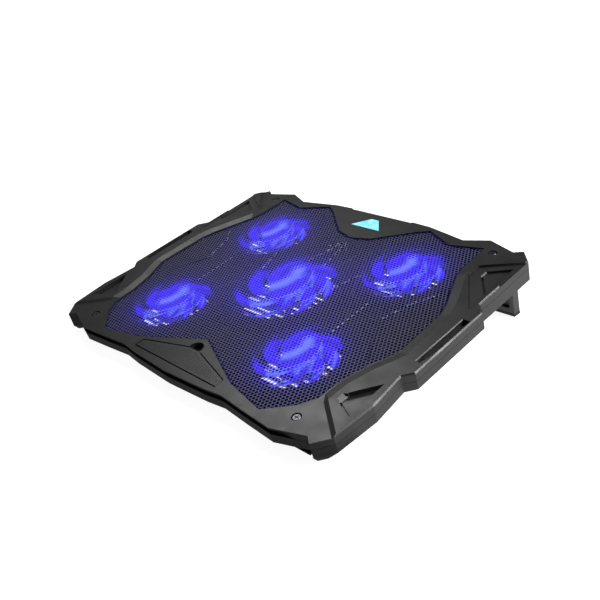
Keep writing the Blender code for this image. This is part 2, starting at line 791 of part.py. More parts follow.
def make_stopper():
    at = (0, FLAP_HINGE_Y, FLAP_HINGE_Z)
    local = [(x, y - FLAP_HINGE_Y) for x, y in flap_outline()]
    flap = place(
        "stopper_flap",
        extruded("stopper_flap", local, -FLAP_HALF_THICK, FLAP_HALF_THICK),
        BLACK, at,
    )
    reach = FLAP_HALF_WIDTH + 1
    angles = [math.pi * (0.5 + step / 8) for step in range(9)]
    nose = [(FLAP_HALF_THICK * math.cos(a), FLAP_HALF_THICK * math.sin(a)) for a in angles]
    relief = bar("nose_relief", [(-4, 4), (0, 4), *nose, (0, -4), (-4, -4)], -reach, reach)
    cut(flap, relief, at)
    cut(flap, rod("flap_bore", STOPPER_PIN_RADIUS + GAP, -reach, reach), at)
    place("stopper_pin", rod("stopper_pin", STOPPER_PIN_RADIUS, -reach - 0.9, reach + 0.9), STEEL, at)


def make_screws():
    for word, (x, y) in SCREWS.items():
        top, under = LOW_TOP - 0.5, -4.2
        screw = turned(
            f"top_screw_{word}", STEEL,
            [
                (0, top), (SCREW_HEAD - 0.8, top), (SCREW_HEAD, top - 0.7), (SCREW_HEAD, under),
                (SCREW_SHANK, under), (SCREW_SHANK, -15), (0, -16),
            ],
            (x, y, 0), 16,
        )
        cross = extruded(f"cross_{word}", plus(2.3, 0.5), top - 1.2, top + 1)
        cut(screw, cross, (x, y, 0))


def make_status_light():
    lens = extruded("status_lens", LENS, SKIN_BOTTOM - 1.4, LOW_TOP - 0.15)
    place("status_lens", lens, CYAN)
    board = boxes("status_light_board", (-22, 22, 118, 140, -5.6, SKIN_BOTTOM - 1.7))
    place("status_light_board", board, BOARD)


def make_usb_socket(side, word):
    """A shell that is open at the back, with its tongue."""
    wide, deep, tall = SOCKET_SIZE
    skin = 0.6
    x = side * SOCKET_X
    front_y = SOCKET_BACK_Y - deep
    span = (x - wide / 2, x + wide / 2, front_y, SOCKET_BACK_Y)
    shell = boxes(f"usb_socket_{word}", (*span, SOCKET_BOTTOM, SOCKET_BOTTOM + tall))
    socket = place(f"usb_socket_{word}", shell, STEEL)
    inner = (x - wide / 2 + skin, x + wide / 2 - skin, front_y + 1, SOCKET_BACK_Y + 1)
    mouth = (*inner, SOCKET_BOTTOM + skin, SOCKET_BOTTOM + tall - skin)
    cut(socket, boxes(f"socket_mouth_{word}", mouth))
    low = SOCKET_BOTTOM + skin + 2.9
    tongue = boxes(f"usb_tongue_{word}", (x - 5, x + 5, front_y + 1 + GAP, front_y + 10, low, low + 1.9))
    place(f"usb_tongue_{word}", tongue, DARK)


def make_port_bezel():
    wide, _, tall = SOCKET_SIZE
    plate = boxes("port_bezel", (-38.8, 38.8, 145, 147.6, -18.2, SPLIT - 2 * GAP))
    bezel = place("port_bezel", plate, BLACK)
    low, high = SOCKET_BOTTOM - GAP, SOCKET_BOTTOM + tall + GAP
    for side in (-1, 1):
        x = side * SOCKET_X
        window = (x - wide / 2 - GAP, x + wide / 2 + GAP, 140, 150, low, high)
        cut(bezel, boxes(f"socket_window_{side}", window))
    cut(bezel, boxes("rocker_window", (-6.4, 6.4, 140, 150, ROCKER_Z - 4.4, ROCKER_Z + 4.4)))


def make_switch():
    housing = boxes("switch_housing", (-6.2, 6.2, 131.5, 143.2, SOCKET_BOTTOM, -9.6))
    place("switch_housing", housing, DARK)
    tilt = Matrix.Rotation(math.radians(ROCKER_TILT), 2)
    outline = [(-1.3, -3.0), (2.6, -3.8), (3.1, 0), (2.6, 3.8), (-1.3, 3.0)]
    profile = [tuple(tilt @ Vector(corner)) for corner in outline]
    place("power_rocker", bar("power_rocker", profile, -6, 6), BLACK, (0, ROCKER_Y, ROCKER_Z))


def make_control_board():
    low = FLOOR_TOP + GAP
    board = boxes("control_board", (-32, 32, 108, 142.6, low, low + BOARD_THICK))
    place("control_board", board, BOARD)


make_top_frame()
make_mesh_panel()
make_bottom_shell()
for fan_name, numbers in FANS.items():
    make_fan(fan_name, *numbers)
make_cables()
make_leg(-1, "left")
make_leg(1, "right")
make_feet()
make_stopper()
make_screws()
make_status_light()
make_control_board()
make_usb_socket(-1, "left")
make_usb_socket(1, "right")
make_port_bezel()
make_switch()
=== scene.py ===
"""Looks of the laptop cooling pad: perforated sheet, lit fans, dotted stopper, materials and studio.

Shapes are drawn in plate millimetres: +X to the user's right, +Y to the back, Z = 0 on top of the
side blocks. The plate leans back, and RIGID with MM turns plate millimetres into the frame's metres.
"""

import json
import math

import bmesh
import bpy
from mathutils import Matrix, Vector
from mathutils.geometry import delaunay_2d_cdt


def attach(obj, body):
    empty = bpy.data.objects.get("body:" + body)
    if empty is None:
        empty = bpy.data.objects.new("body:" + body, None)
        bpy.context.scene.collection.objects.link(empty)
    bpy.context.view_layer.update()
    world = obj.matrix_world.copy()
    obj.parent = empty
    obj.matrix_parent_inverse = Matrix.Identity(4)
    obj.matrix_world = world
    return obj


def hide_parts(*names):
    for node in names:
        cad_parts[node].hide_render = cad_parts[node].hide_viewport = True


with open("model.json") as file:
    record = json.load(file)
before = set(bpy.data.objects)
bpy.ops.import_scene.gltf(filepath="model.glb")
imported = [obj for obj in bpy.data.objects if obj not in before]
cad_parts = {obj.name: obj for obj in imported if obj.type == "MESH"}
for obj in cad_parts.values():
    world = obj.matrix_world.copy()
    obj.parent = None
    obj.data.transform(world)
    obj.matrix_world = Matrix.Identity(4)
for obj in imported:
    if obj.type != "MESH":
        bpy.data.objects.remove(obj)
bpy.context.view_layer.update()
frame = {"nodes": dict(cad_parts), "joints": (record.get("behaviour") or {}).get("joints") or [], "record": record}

MM = 0.001
CAD = frame["nodes"]
JOINTS = {joint["name"]: joint for joint in frame["joints"]}
MOUNTS = {mount["name"]: mount for mount in frame["record"]["mounts"]}

# The plate's lean and origin, from the fan axes and from a mount on the side blocks' top
UP = Vector(JOINTS["fan_spin_center"]["axis"])
LEAN = math.atan2(-UP.y, UP.z)
TOP_POINT = Vector(MOUNTS["laptop_rest"]["pos_m"])
RIGID = Matrix.Translation((0, TOP_POINT.y, TOP_POINT.z)) @ Matrix.Rotation(LEAN, 4, "X")

# Camera, on the plate: place in millimetres, then azimuth, elevation and roll in degrees
CAMERA_PLACE = (551.1, -391.8, 392.5)
CAMERA_ANGLES = (53.592, 31.566, 15.284)
LENS_MM = 48.0
SENSOR_MM = 36.0


def on_plate(x, y, z):
    """World point of a plate point in millimetres."""
    return RIGID @ (Vector((x, y, z)) * MM)


def plate_box(node):
    """Lowest and highest plate corner of a CAD node, in millimetres."""
    back = RIGID.inverted()
    points = [back @ vertex.co / MM for vertex in CAD[node].data.vertices]
    low = Vector([min(p[i] for p in points) for i in range(3)])
    high = Vector([max(p[i] for p in points) for i in range(3)])
    return low, high


# ---------------------------------------------------------------- outlines

MESH_TOP = -2.9
MESH_THICK = 0.45
HOLE_PITCH = 3.7
HOLE_RADIUS = 1.66
EDGE_WEB = 0.35  # least metal between a hole and the sheet's edge
MESH_MARGIN = 1.6  # how far the sheet runs under the frame's lip

# Right-hand half of the frame's opening, back to front: (x, y) or (x, y, fillet radius)
OPENING_HALF = [
    (0, 99, 14), (22, 105.5), (60, 136), (71.5, 142.3), (105.5, 127.5), (140.5, 135.5),
    (142, 99), (144.7, 85.5), (164, 44), (168.5, 29.5), (170.5, -28), (159, -54), (152, -80),
    (151, -104), (141, -120), (117.7, -139.7), (69.5, -129.7), (25, -110), (0, -99, 6),
]

# Creases pressed into the right-hand half of the sheet, as runs of (x, y)
CREASES = [
    [(150, 55), (137, 40), (125, 3)],
    [(98, 15), (98, -35)],
    [(48, 14), (58, 49)],
    [(0, 90), (12, 79)],
    [(2, 87), (11, 48)],
    [(125, 3), (152, -46)],
]
CREASE_HEIGHT = 0.9
CREASE_HALF_WIDTH = 1.5
HIGHLIT_CREASES = 5  # the first few, painted with a highlight along the crest
CREST_HALF_WIDTH = 0.95
SHADED_RIM = 1.9  # width of the painted shade on the sheet along the frame's opening, where the lip shades it
FILLET_STEPS = 6


def mirrored(half):
    """A closed, counter-clockwise outline from its right-hand half."""
    left = [(-corner[0], *corner[1:]) for corner in reversed(half) if corner[0] > 0]
    return list(reversed(half + left))


def offset(outline, distance):
    """The outline with each edge moved outwards."""
    lines = []
    for here, there in zip(outline, outline[1:] + outline[:1]):
        run, rise = there[0] - here[0], there[1] - here[1]
        length = math.hypot(run, rise)
        normal = (rise / length, -run / length)
        lines.append((*normal, normal[0] * here[0] + normal[1] * here[1] + distance))
    moved = []
    for i, corner in enumerate(outline):
        a, b, c = lines[i - 1]
        d, e, f = lines[i]
        det = a * e - b * d
        moved.append(((c * e - b * f) / det, (a * f - c * d) / det, *corner[2:]))
    return moved


def filleted(outline):
    """Plain (x, y) points, with an arc at each corner that has a radius."""
    points = []
    for i, corner in enumerate(outline):
        middle = Vector(corner[:2])
        if len(corner) < 3:
            points.append(tuple(middle))
            continue
        before = (Vector(outline[i - 1][:2]) - middle).normalized()
        after = (Vector(outline[(i + 1) % len(outline)][:2]) - middle).normalized()
        half_angle = before.angle(after) / 2
        centre = middle + (before + after).normalized() * corner[2] / math.sin(half_angle)
        start = middle + before * corner[2] / math.tan(half_angle) - centre
        end = middle + after * corner[2] / math.tan(half_angle) - centre
        for k in range(FILLET_STEPS + 1):
            spoke = start.lerp(end, k / FILLET_STEPS).normalized() * corner[2]
            points.append(tuple(centre + spoke))
    return points


def inside(x, y, outline):
    """Whether a point lies within an outline, by counting the edges to its right."""
    odd = False
    for (x0, y0), (x1, y1) in zip(outline, outline[1:] + outline[:1]):
        if (y0 > y) != (y1 > y) and x < x0 + (y - y0) * (x1 - x0) / (y1 - y0):
            odd = not odd
    return odd


def distance_to_run(x, y, run):
    """Shortest distance in the plane from a point to a run of (x, y) points."""
    best = 1e9
    for (x0, y0), (x1, y1) in zip(run, run[1:]):
        along = ((x - x0) * (x1 - x0) + (y - y0) * (y1 - y0)) / ((x1 - x0) ** 2 + (y1 - y0) ** 2)
        along = min(1.0, max(0.0, along))
        gap = math.hypot(x - x0 - along * (x1 - x0), y - y0 - along * (y1 - y0))
        best = min(best, gap)
    return best


def hexagon(x, y, radius):
    """Corners of a hexagon with a point towards +Y."""
    angles = [math.radians(30 + 60 * k) for k in range(6)]
    return [(x + radius * math.cos(a), y + radius * math.sin(a)) for a in angles]


def lattice(outline, pitch):
    """Close-packed (x, y) points inside an outline."""
    rise = pitch * math.sqrt(3) / 2
    reach_x = max(x for x, y in outline)
    low, high = min(y for x, y in outline), max(y for x, y in outline)
    columns = int(reach_x // pitch) + 1
    spots = []
    for row in range(int(low // rise), int(high // rise) + 1):
        shift = pitch / 2 if row % 2 else 0.0
        for column in range(-columns - 1, columns + 1):
            x, y = column * pitch + shift, row * rise
            if inside(x, y, outline):
                spots.append((x, y))
    return spots


def triangulated(outline, loops, keep_inside):
    """Flat triangles of an outline. The loops, which are convex, are cut out of it or kept as edges."""
    points = []
    edges = []
    loop_of = []
    for number, loop in enumerate([outline, *loops]):
        first = len(points)
        points.extend(Vector(p) for p in loop)
        loop_of.extend([number] * len(loop))
        edges.extend((first + i, first + (i + 1) % len(loop)) for i in range(len(loop)))
    flat, _, faces, sources, _, _ = delaunay_2d_cdt(points, edges, [], 1, 1e-5)
    if keep_inside:
        return flat, faces
    owners = [loop_of[source[0]] for source in sources]
    rim = [face for face in faces if owners[face[0]] == 0 or len({owners[i] for i in face}) > 1]
    return flat, rim


# ---------------------------------------------------------------- objects


def piece(name, mesh, look, body, replaced=(), at=(0, 0, 0), smooth=None):
    """A visual piece on the plate that rides on a body and may stand for CAD nodes."""
    made = bpy.data.objects.new(name, mesh)
    bpy.context.scene.collection.objects.link(made)
    made.matrix_world = RIGID @ Matrix.Translation(Vector(at) * MM)
    mesh.materials.append(look)
    if smooth is not None:
        mesh.shade_smooth()
        mesh.set_sharp_from_angle(angle=math.radians(smooth))
    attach(made, body)
    if replaced:
        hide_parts(*replaced)
    return made


def finished(work, name):
    """The bmesh, drawn in millimetres, as a mesh in metres with its normals facing out."""
    bmesh.ops.scale(work, vec=(MM, MM, MM), verts=work.verts)
    bmesh.ops.recalc_face_normals(work, faces=work.faces)
    if work.calc_volume(signed=True) < 0:
        bmesh.ops.reverse_faces(work, faces=work.faces)
    mesh = bpy.data.meshes.new(name)
    work.to_mesh(mesh)
    work.free()
    return mesh


def slab(name, outline, loops, top, bottom, lift):
    """Closed slab with a hole for each loop; lift(x, y) raises both its faces at a point."""
    flat, faces = triangulated(outline, loops, False)
    work = bmesh.new()
    upper = [work.verts.new((x, y, top + lift(x, y))) for x, y in flat]
    for face in faces:
        work.faces.new([upper[i] for i in face])
    sheet_faces = list(work.faces)
    made = bmesh.ops.extrude_face_region(work, geom=sheet_faces, use_keep_orig=True)
    for vertex in made["geom"]:
        if isinstance(vertex, bmesh.types.BMVert):
            vertex.co.z -= top - bottom
    return finished(work, name)


def turned_mesh(name, profile, steps):
    """Closed ring or cap about Z from a loop of (radius, z) points; radius 0 ends are poles."""
    work = bmesh.new()
    rings = []
    for radius, z in profile:
        if radius == 0:
            rings.append([work.verts.new((0, 0, z))])
            continue
        ring = []
        for k in range(steps):
            angle = 2 * math.pi * k / steps
            ring.append(work.verts.new((radius * math.cos(angle), radius * math.sin(angle), z)))
        rings.append(ring)
    pairs = list(zip(rings, rings[1:]))
    if profile[0][0] > 0:
        pairs.append((rings[-1], rings[0]))
    for low, high in pairs:
        for k in range(steps):
            here, there = k, k + 1
            corners = [
                low[here % len(low)], low[there % len(low)], high[there % len(high)], high[here % len(high)],
            ]
            unique = list(dict.fromkeys(corners))
            if len(unique) > 2:
                work.faces.new(unique)
    return finished(work, name)


# ---------------------------------------------------------------- materials


class Look:
    """A Principled material that is built up with procedural nodes in object space."""

    def __init__(self, name, colour, roughness, metallic=0.0, specular=0.5):
        self.material = bpy.data.materials.new(name)
        self.material.use_nodes = True
        self.nodes = self.material.node_tree.nodes
        self.shader = self.nodes["Principled BSDF"]
        self.shader.inputs["Base Color"].default_value = (*colour, 1)
        self.shader.inputs["Roughness"].default_value = roughness
        self.shader.inputs["Metallic"].default_value = metallic
        self.shader.inputs["Specular IOR Level"].default_value = specular
        self.place = self.nodes.new("ShaderNodeTexCoord").outputs["Object"]
        self.normal = None

    def link(self, source, target):
        self.material.node_tree.links.new(source, target)

    def noise(self, scale, detail=3.0, stretch=(1, 1, 1)):
        spread = self.nodes.new("ShaderNodeMapping")
        spread.inputs["Scale"].default_value = stretch
        self.link(self.place, spread.inputs["Vector"])
        texture = self.nodes.new("ShaderNodeTexNoise")
        texture.inputs["Scale"].default_value = scale
        texture.inputs["Detail"].default_value = detail
        self.link(spread.outputs["Vector"], texture.inputs["Vector"])
        return texture.outputs["Fac"]

    def attribute(self, name):
        stored = self.nodes.new("ShaderNodeAttribute")
        stored.attribute_name = name
        return stored.outputs["Fac"]

    def cells(self, scale):
        texture = self.nodes.new("ShaderNodeTexVoronoi")
        texture.inputs["Scale"].default_value = scale
        self.link(self.place, texture.inputs["Vector"])
        return texture.outputs["Distance"]

    def ramp(self, source, *stops):
        """Colour ramp from (position, colour) stops."""
        ramp = self.nodes.new("ShaderNodeValToRGB")
        while len(ramp.color_ramp.elements) < len(stops):
            ramp.color_ramp.elements.new(0.5)
        for element, (position, colour) in zip(ramp.color_ramp.elements, stops):
            element.position = position
            element.color = (*colour, 1)
        self.link(source, ramp.inputs["Fac"])
        return ramp.outputs["Color"]

    def spread(self, source, low, high):
        """A number that follows the source between low and high."""
        change = self.nodes.new("ShaderNodeMapRange")
        change.inputs["From Min"].default_value = 0.25
        change.inputs["From Max"].default_value = 0.75
        change.inputs["To Min"].default_value = low
        change.inputs["To Max"].default_value = high
        self.link(source, change.inputs["Value"])
        return change.outputs["Result"]

    def paint(self, source, *stops):
        self.link(self.ramp(source, *stops), self.shader.inputs["Base Color"])

    def rough(self, source, low, high):
        self.link(self.spread(source, low, high), self.shader.inputs["Roughness"])

    def bump(self, source, depth_mm):
        bump = self.nodes.new("ShaderNodeBump")
        bump.inputs["Distance"].default_value = depth_mm * MM
        self.link(source, bump.inputs["Height"])
        if self.normal is not None:
            self.link(self.normal, bump.inputs["Normal"])
        self.normal = bump.outputs["Normal"]
        self.link(self.normal, self.shader.inputs["Normal"])

    def glow(self, colour, strength):
        self.shader.inputs["Emission Color"].default_value = (*colour, 1)
        self.shader.inputs["Emission Strength"].default_value = strength


def moulded(name, dark, light, roughness, grain_mm, depth_mm):
    """Moulded plastic: slow colour drift, uneven gloss, spark-eroded grain and faint handling marks."""
    look = Look(name, dark, roughness, specular=0.3)
    drift = look.noise(14, 2)
    look.paint(drift, (0.35, dark), (0.65, light))
    look.rough(look.noise(55, 4), roughness - 0.06, roughness + 0.07)
    look.bump(look.noise(1 / (grain_mm * MM), 2), depth_mm)
    look.bump(look.noise(260, 5, (1, 0.06, 1)), 0.006)
    return look.material


def painted_shade_inside(name, dark, light, roughness):
    """Moulded plastic, dull and with painted shade: near black on its faces towards the plate's top, inside the
    case.
    """
    look = Look(name, dark, roughness, specular=0.3)
    facing = look.nodes.new("ShaderNodeVectorMath")
    facing.operation = "DOT_PRODUCT"
    facing.inputs[1].default_value = UP
    look.link(look.nodes.new("ShaderNodeNewGeometry").outputs["True Normal"], facing.inputs[0])
    # Painted shade: near black on the faces towards the plate's top
    look.paint(facing.outputs["Value"], (0.3, light), (0.6, (0.002, 0.002, 0.002)))
    look.rough(facing.outputs["Value"], roughness, 0.95)
    look.bump(look.noise(1250, 2), 0.04)
    return look.material


BLACK = moulded("satin_black_plastic", (0.012, 0.012, 0.013), (0.018, 0.018, 0.019), 0.37, 0.7, 0.035)
DARK = moulded("dull_black_plastic", (0.009, 0.009, 0.01), (0.014, 0.014, 0.015), 0.5, 0.8, 0.04)
# The shell and the fan frames inside the case carry painted shade; the fan frames are also painted darker all
# over, as shade
SHELL = painted_shade_inside("shell_plastic", (0.011, 0.011, 0.012), (0.016, 0.016, 0.017), 0.42)
FAN_BLACK = painted_shade_inside("fan_frame_plastic", (0.006, 0.006, 0.007), (0.008, 0.008, 0.009), 0.7)


def rubber():
    look = Look("ribbed_rubber", (0.016, 0.016, 0.016), 0.85, specular=0.3)
    look.paint(look.noise(90, 4), (0.35, (0.012, 0.012, 0.012)), (0.65, (0.024, 0.023, 0.022)))
    look.rough(look.noise(300, 3), 0.75, 0.92)
    look.bump(look.cells(700), 0.06)
    return look.material


def steel(name, colour, roughness):
    look = Look(name, colour, roughness, metallic=1.0)
    tint = tuple(0.8 * c for c in colour)
    look.paint(look.noise(120, 3), (0.3, tint), (0.7, colour))
    look.rough(look.noise(700, 4, (1, 0.1, 1)), roughness - 0.07, roughness + 0.1)
    look.bump(look.noise(2200, 2, (1, 0.05, 1)), 0.004)
    return look.material


def circuit_board():
    look = Look("green_circuit_board", (0.012, 0.09, 0.04), 0.4)
    look.paint(look.cells(420), (0.15, (0.02, 0.16, 0.07)), (0.45, (0.008, 0.07, 0.03)))
    look.rough(look.noise(500, 3), 0.3, 0.5)
    look.bump(look.cells(420), 0.05)
    return look.material


def windings():
    look = Look("copper_windings", (0.55, 0.22, 0.09), 0.35, metallic=1.0)
    look.paint(look.noise(200, 3), (0.3, (0.36, 0.13, 0.05)), (0.7, (0.62, 0.27, 0.11)))
    wires = look.nodes.new("ShaderNodeTexWave")
    wires.bands_direction = "Z"
    wires.inputs["Scale"].default_value = 500
    look.link(look.place, wires.inputs["Vector"])
    look.bump(wires.outputs["Fac"], 0.12)
    look.rough(look.noise(900, 2), 0.28, 0.42)
    return look.material


def cable_sleeve():
    look = Look("cable_sleeve", (0.02, 0.02, 0.022), 0.6)
    look.paint(look.noise(150, 3), (0.3, (0.014, 0.014, 0.015)), (0.7, (0.03, 0.03, 0.033)))
    look.rough(look.noise(500, 2), 0.5, 0.7)
    look.bump(look.noise(1500, 2), 0.02)
    return look.material


BLUE_GLOW = (0.03, 0.001, 0.88)
PALE_GLOW = (0.15, 0.22, 1.0)
SPILL_GLOW = (0.025, 0.006, 0.62)


def lit_plastic():
    """Translucent blue rotor, lit from within, with pale swirls of painted light streaks."""
    look = Look("lit_blue_plastic", (0.01, 0.004, 0.3), 0.5, specular=0.15)
    # Painted light streaks: pale swirls over the blue glow
    colour = look.ramp(look.attribute("swirl"), (0.0, BLUE_GLOW), (1.0, PALE_GLOW))
    look.link(colour, look.shader.inputs["Emission Color"])
    look.link(look.spread(look.noise(160, 3), 0.9, 1.3), look.shader.inputs["Emission Strength"])
    look.rough(look.noise(400, 3), 0.42, 0.56)
    look.bump(look.noise(1400, 2), 0.01)
    return look.material


def painted_sheet():
    """Black powder coat, with painted light: a blue glow of the fans' light and their pale swirls on the webs near
    the fans, painted shade along the frame's lip and painted highlights on the crease crests.
    """
    look = Look("painted_mesh_sheet", (0.03, 0.03, 0.045), 0.3, specular=0.7)
    # Painted shade along the frame's lip (near black, dull) and painted highlights on the crease crests (pale
    # grey, glossy)
    lip_shade_and_crest_highlight = look.attribute("lip_shade_and_crest_highlight")
    look.paint(lip_shade_and_crest_highlight, (0.0, (0.002, 0.002, 0.002)), (0.5, (0.03, 0.03, 0.045)), (1.0, (0.17, 0.17, 0.22)))
    look.rough(lip_shade_and_crest_highlight, 0.9, 0.28)
    look.bump(look.noise(2600, 2), 0.012)
    # Painted glow: the fans' blue light and pale swirls, as emission on the webs
    near = look.ramp(look.attribute("fan_light"), (0.0, (0, 0, 0)), (1.0, SPILL_GLOW))
    pale = look.ramp(look.attribute("swirl"), (0.0, (0, 0, 0)), (1.0, PALE_GLOW))
    both = look.nodes.new("ShaderNodeMix")
    both.data_type = "RGBA"
    both.blend_type = "ADD"
    both.inputs["Factor"].default_value = 0.6
    look.link(near, both.inputs["A"])
    look.link(pale, both.inputs["B"])
    look.link(both.outputs["Result"], look.shader.inputs["Emission Color"])
    look.shader.inputs["Emission Strength"].default_value = 1.0
    return look.material


def lit_lens():
    look = Look("frosted_cyan_lens", (0.25, 0.8, 0.9), 0.25)
    cloud = look.noise(90, 3)
    look.paint(cloud, (0.3, (0.16, 0.66, 0.8)), (0.7, (0.4, 0.9, 0.97)))
    look.link(look.ramp(cloud, (0.3, (0.08, 0.5, 0.64)), (0.7, (0.3, 0.78, 0.88))),
              look.shader.inputs["Emission Color"])
    look.shader.inputs["Emission Strength"].default_value = 0.35
    look.rough(look.noise(700, 3), 0.2, 0.34)
    look.bump(look.noise(1800, 2), 0.01)
    return look.material


RUBBER = rubber()
STEEL = steel("bright_steel", (0.56, 0.56, 0.58), 0.28)
BLACK_STEEL = steel("blackened_steel", (0.11, 0.11, 0.12), 0.34)
BOARD = circuit_board()
COPPER = windings()
SLEEVE = cable_sleeve()
LIT_BLUE = lit_plastic()
SHEET = painted_sheet()
LENS = lit_lens()

# ---------------------------------------------------------------- CAD nodes that stay


SLOTS = {row["node"]: row["material_slot"] for row in frame["record"]["subparts"]}
FINISHES = {
    "black_plastic": BLACK, "dark_plastic": DARK, "painted_mesh": SHEET,
    "blue_fan_plastic": LIT_BLUE, "cyan_lens": LENS, "steel": STEEL, "rubber_feet": RUBBER,
    "circuit_board": BOARD, "stator_winding": COPPER, "cable_sleeve": SLEEVE,
}
EDGE_ROUNDS = {"top_frame": 0.25, "bottom_shell": 0.2, "leg_left": 0.5, "leg_right": 0.5}
EDGE_SEGMENTS = 2


def finish_of(node):
    """The material of a CAD node: its slot's, apart from three kinds of piece."""
    if node.startswith("top_screw"):
        return BLACK_STEEL
    if node == "bottom_shell":
        return SHELL
    if node.startswith("fan_frame"):
        return FAN_BLACK
    return FINISHES[SLOTS[node]]


def dress_cad_nodes():
    for name, node in CAD.items():
        node.data.materials.clear()
        node.data.materials.append(finish_of(name))


def soften(node, width):
    """Moulded edges: merge the flat facets, then round the sharp edges a little."""
    made = CAD[node]
    weld = made.modifiers.new("weld", "WELD")
    weld.merge_threshold = 1e-6
    flat = made.modifiers.new("flat", "DECIMATE")
    flat.decimate_type = "DISSOLVE"
    flat.angle_limit = math.radians(0.5)
    bevel = made.modifiers.new("edges", "BEVEL")
    bevel.width = width * MM
    bevel.segments = EDGE_SEGMENTS
    bevel.limit_method = "ANGLE"
    bevel.angle_limit = math.radians(14)
    bevel.harden_normals = True
    bevel.use_clamp_overlap = True


# ---------------------------------------------------------------- perforated sheet


LED_RING_WIDTH = 6  # the LED board reaches this far out from the hub


def fan_centres():
    """Each fan's centre on the plate and its blade and hub radius, in millimetres."""
    found = {}
    for name, joint in JOINTS.items():
        if not name.startswith("fan_spin_"):
            continue
        key = name.removeprefix("fan_spin_")
        centre = RIGID.inverted() @ Vector(joint["pos_m"]) / MM
        low, high = plate_box(f"fan_rotor_{key}")
        ring_low, ring_high = plate_box(f"fan_led_board_{key}")
        reach = (high.x - low.x) / 2
        hub = (ring_high.x - ring_low.x) / 2 - LED_RING_WIDTH
        found[key] = (centre.x, centre.y, reach, hub)
    return found


FANS = fan_centres()
BLADES = 7
SWEEP = math.radians(58)
BLADE_ARC = (math.radians(40), math.radians(36))  # at the hub and at the tip
BLADE_TOP = -5.3
BLADE_BOTTOM = -12.8

# Glow of the sheet, as levels, and the distances in millimetres over which it fades
BACKGROUND_GLOW, BACKGROUND_FADE = 0.17, 32
HALO_GLOW, HALO_FADE = 0.22, 6
HALO_START = 1.02  # in blade radii
GLOW_OVER_BLADE, GLOW_OVER_GAP = 0.8, 0.16

# Pale swirls of painted light streaks in a fan's light, for a fan of unit radius: arc centre, radius, half width,
# and the direction and half angle that the arc keeps to
SWIRLS = [
    ((-0.62, 0.24), 0.52, 0.17, -5, 62),
    ((-0.36, 0.10), 0.72, 0.04, -20, 75),
    ((0.06, 0.08), 0.74, 0.05, 5, 38),
    ((0.14, -0.52), 0.36, 0.05, -85, 65),
    ((-0.12, -0.28), 0.36, 0.14, -75, 42),
]


def swirl(u, v):
    """Strength of the pale swirls of painted light at a point of a fan of unit radius."""
    best = 0.0
    for (centre_u, centre_v), radius, half_width, toward, half_angle in SWIRLS:
        away = abs(math.hypot(u - centre_u, v - centre_v) - radius) / half_width
        angle = math.degrees(math.atan2(v - centre_v, u - centre_u)) - toward
        turn = abs((angle + 180) % 360 - 180) / half_angle
        if away < 1 and turn < 1:
            best = max(best, (1 - away**2) * min(1.0, 4 * (1 - turn)))
    return best


def sheet_light(x, y):
    """How strongly the fans' light and their pale swirls are painted as glow on a point of the sheet."""
    glow = 0.0
    pale = 0.0
    for centre_x, centre_y, reach, hub in FANS.values():
        radius = math.hypot(x - centre_x, y - centre_y)
        glow += BACKGROUND_GLOW * math.exp(-max(0.0, radius - reach) / BACKGROUND_FADE)
        if radius > HALO_START * reach:
            glow += HALO_GLOW * math.exp(-(radius - HALO_START * reach) / HALO_FADE)
            continue
        out = max(0.0, (radius - hub) / (reach - hub))
        lead = -SWEEP * out**1.3
        width = BLADE_ARC[0] + (BLADE_ARC[1] - BLADE_ARC[0]) * out
        turn = (math.atan2(y - centre_y, x - centre_x) - lead) % (2 * math.pi / BLADES)
        trim = blade_trim(out)
        covered = trim < turn / width < 1 - trim or radius < hub
        glow += GLOW_OVER_BLADE if covered else GLOW_OVER_GAP
        pale = swirl((x - centre_x) / reach, (y - centre_y) / reach)
    return min(1.0, glow), pale


def sheet_shade_and_highlight(x, y, rim, crests):
    """0 for painted shade along the frame's lip, 1 for a painted highlight on the crest of a crease, 0.5
    elsewhere.
    """
    if distance_to_run(x, y, rim) < SHADED_RIM or not inside(x, y, rim):
        return 0.0
    return 1.0 if min(distance_to_run(x, y, crest) for crest in crests) < CREST_HALF_WIDTH else 0.5


def store(mesh, name, values):
    """Keep one number per vertex under a name that a material can read."""
    mesh.attributes.new(name, "FLOAT", "POINT").data.foreach_set("value", values)


def make_sheet():
    """The perforated sheet with its creases, and its painted glow, painted shade and painted highlights stored on
    it.
    """
    outline = filleted(offset(mirrored(OPENING_HALF), MESH_MARGIN))
    reach = filleted(offset(mirrored(OPENING_HALF), MESH_MARGIN - EDGE_WEB - HOLE_RADIUS))
    loops = [hexagon(x, y, HOLE_RADIUS) for x, y in lattice(reach, HOLE_PITCH)]
    runs = [[(side * x, y) for x, y in half] for half in CREASES for side in (1, -1)]

    def lift(x, y):
        gap = min(distance_to_run(x, y, run) for run in runs)
        return CREASE_HEIGHT * max(0.0, 1 - gap / CREASE_HALF_WIDTH)

    mesh = slab("perforated_sheet", outline, loops, MESH_TOP, MESH_TOP - MESH_THICK, lift=lift)
    places = [(v.co.x / MM, v.co.y / MM) for v in mesh.vertices]
    lights = [sheet_light(x, y) for x, y in places]
    store(mesh, "fan_light", [glow for glow, pale in lights])
    store(mesh, "swirl", [pale for glow, pale in lights])
    rim = filleted(mirrored(OPENING_HALF))
    rim.append(rim[0])
    # Painted shade along the lip and painted highlights along the first creases' crests
    store(mesh, "lip_shade_and_crest_highlight", [sheet_shade_and_highlight(x, y, rim, runs[: 2 * HIGHLIT_CREASES]) for x, y in places])
    piece("perforated_sheet", mesh, SHEET, "case", ["mesh_panel"])


# ---------------------------------------------------------------- fans


def blade_trim(out):
    """Share of the blade's arc that its rounded tip loses on each side."""
    return 0.26 * max(0.0, 1.8 * out - 0.8) ** 2.5


